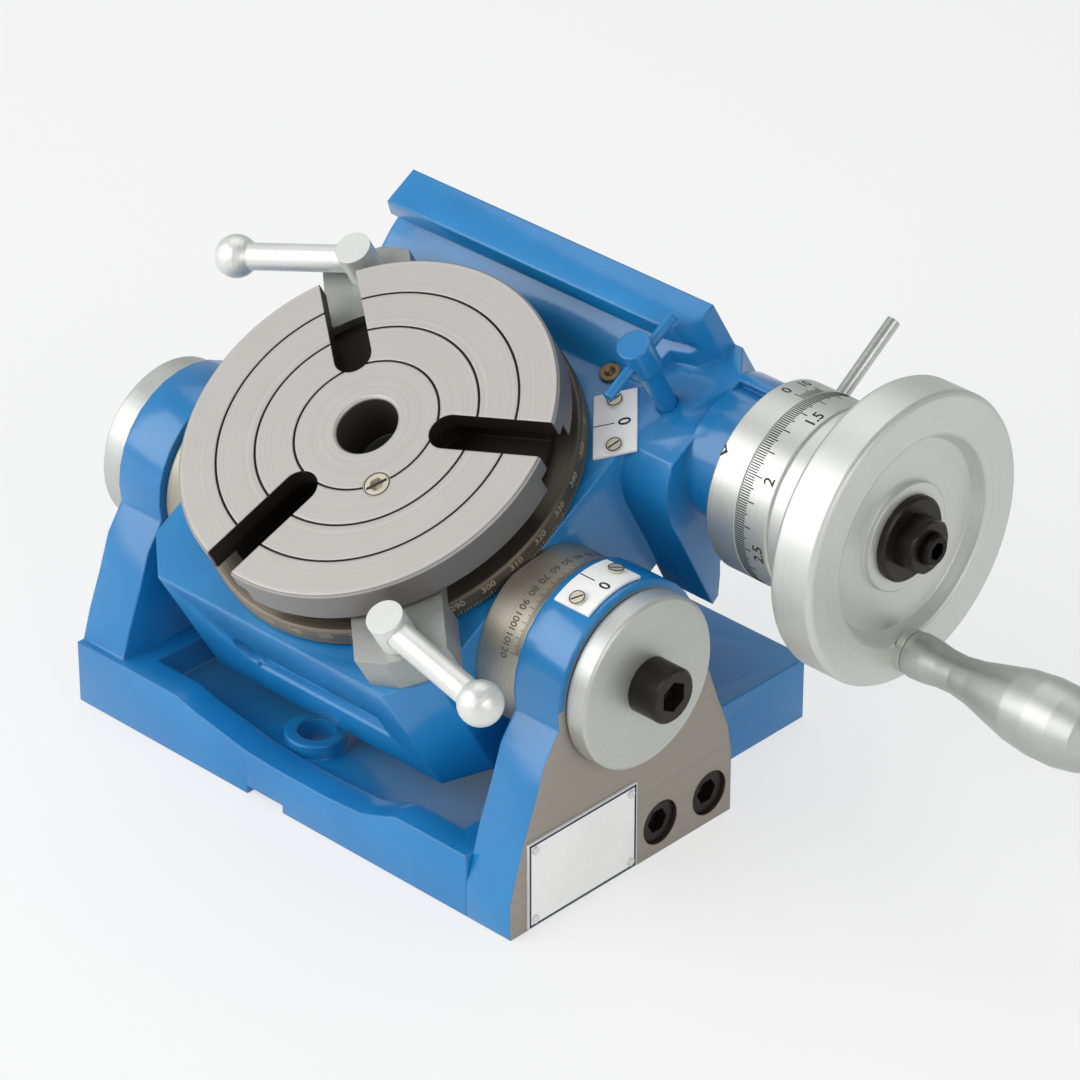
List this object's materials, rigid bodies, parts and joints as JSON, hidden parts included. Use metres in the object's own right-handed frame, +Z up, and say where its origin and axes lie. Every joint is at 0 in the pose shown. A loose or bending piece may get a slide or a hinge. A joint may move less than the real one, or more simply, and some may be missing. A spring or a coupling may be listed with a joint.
{
  "type": "tilting rotary table",
  "caption": "Small worm-driven rotary table with T-slots, carried on trunnions between two uprights so that it tilts, with a handwheel, graduated dial, table clamps and a disengaging lever.",
  "frame": {"origin": "on the ground underside of the base, straight below the trunnion axis, in the middle plane of the table", "axes": "+X along the trunnion axis to the handwheel, +Y to the rear, +Z up"},
  "size_m": [0.3073, 0.1626, 0.1427],
  "materials": {
    "blue_enamel": "semi-gloss enamel over cast iron",
    "ground_steel": "turned and ground",
    "dark_steel": "fine machined",
    "satin_chrome": "satin",
    "black_oxide": "black oxide",
    "bronze": "machined",
    "white_plate": "matte white enamel on thin sheet",
    "cast_cover": "as cast"
  },
  "bodies": {
    "base": {"base_casting": "blue_enamel", "right_upright": "blue_enamel", "upright_screws": "black_oxide", "tilt_index_plate": "white_plate", "tilt_index_screws": "satin_chrome", "name_plate": "white_plate", "name_plate_pins": "satin_chrome", "trunnion_bush_right": "bronze", "trunnion_bush_left": "bronze"},
    "cradle": {"cradle_casting": "blue_enamel", "table_bush": "bronze", "bottom_cover": "cast_cover", "cover_screws": "black_oxide", "ball_oiler": "satin_chrome", "table_index_plate": "white_plate", "table_index_screws": "satin_chrome", "trunnion_left": "ground_steel", "trunnion_left_screws": "black_oxide", "trunnion_right": "ground_steel", "trunnion_right_screws": "black_oxide", "lock_disc_left": "satin_chrome", "lock_disc_right": "satin_chrome", "clamp_block_front": "dark_steel", "clamp_block_rear": "dark_steel"},
    "table": {"rotary_table": "ground_steel", "table_plug_screw": "black_oxide", "graduated_ring": "dark_steel", "worm_wheel": "dark_steel", "wheel_screws": "black_oxide", "retaining_nut": "dark_steel", "centre_sleeve": "ground_steel"},
    "eccentric": {"eccentric_sleeve": "dark_steel", "eccentric_lever": "satin_chrome", "worm_bush_inner": "bronze", "worm_bush_outer": "bronze"},
    "worm": {"worm_shaft": "dark_steel", "worm_shaft_nut": "dark_steel", "handwheel": "satin_chrome", "wheel_key": "satin_chrome", "wheel_washer": "black_oxide", "wheel_nut": "black_oxide", "crank_spindle": "satin_chrome"},
    "dial": {"graduated_dial": "satin_chrome"},
    "grip": {"crank_grip": "satin_chrome"},
    "lock_left": {"lock_bolt_left": "black_oxide"},
    "lock_right": {"lock_bolt_right": "black_oxide"},
    "front_lever": {"clamp_stud_front": "black_oxide", "ball_lever_front": "satin_chrome"},
    "rear_lever": {"clamp_stud_rear": "black_oxide", "ball_lever_rear": "satin_chrome"},
    "sleeve_lock": {"sleeve_lock_screw": "satin_chrome", "sleeve_lock_bar": "satin_chrome"}
  },
  "joints": [
    {"name": "tilt", "type": "hinge", "parent": "base", "child": "cradle", "pos_m": [0, 0, 0.0633], "axis": [1, 0, 0], "range_deg": [-30, 45]},
    {"name": "table_turn", "type": "hinge", "parent": "cradle", "child": "table", "pos_m": [0, -0.00348, 0.09593], "axis": [0, -0.5, 0.866], "continuous": true},
    {"name": "sleeve_turn", "type": "hinge", "parent": "cradle", "child": "eccentric", "pos_m": [0.06, 0.05675, 0.10161], "axis": [1, 0, 0], "range_deg": [0, 75]},
    {"name": "worm_turn", "type": "hinge", "parent": "eccentric", "child": "worm", "pos_m": [0.06, 0.05805, 0.09935], "axis": [1, 0, 0], "continuous": true},
    {"name": "dial_turn", "type": "hinge", "parent": "worm", "child": "dial", "pos_m": [0.106, 0.05805, 0.09935], "axis": [1, 0, 0], "continuous": true},
    {"name": "grip_spin", "type": "hinge", "parent": "worm", "child": "grip", "pos_m": [0.17, 0.05689, 0.06608], "axis": [1, 0, 0], "continuous": true},
    {"name": "lock_left_turn", "type": "hinge", "parent": "cradle", "child": "lock_left", "pos_m": [-0.09, 0, 0.0633], "axis": [-1, 0, 0], "range_deg": [0, 90]},
    {"name": "lock_right_turn", "type": "hinge", "parent": "cradle", "child": "lock_right", "pos_m": [0.09, 0, 0.0633], "axis": [1, 0, 0], "range_deg": [0, 90]},
    {"name": "front_lever_turn", "type": "hinge", "parent": "cradle", "child": "front_lever", "pos_m": [0.04525, -0.04267, 0.0733], "axis": [0, -0.5, 0.866], "range_deg": [-60, 15]},
    {"name": "rear_lever_turn", "type": "hinge", "parent": "cradle", "child": "rear_lever", "pos_m": [-0.04525, 0.03571, 0.11856], "axis": [0, -0.5, 0.866], "range_deg": [-45, 20]},
    {"name": "sleeve_lock_turn", "type": "hinge", "parent": "cradle", "child": "sleeve_lock", "pos_m": [0.0567, 0.0419, 0.12213], "axis": [0, -0.5, 0.866], "range_deg": [-30, 120]}
  ],
  "couplings": [
    {"joint": "table_turn", "follows": "worm_turn", "ratio": 0.013889}
  ]
}
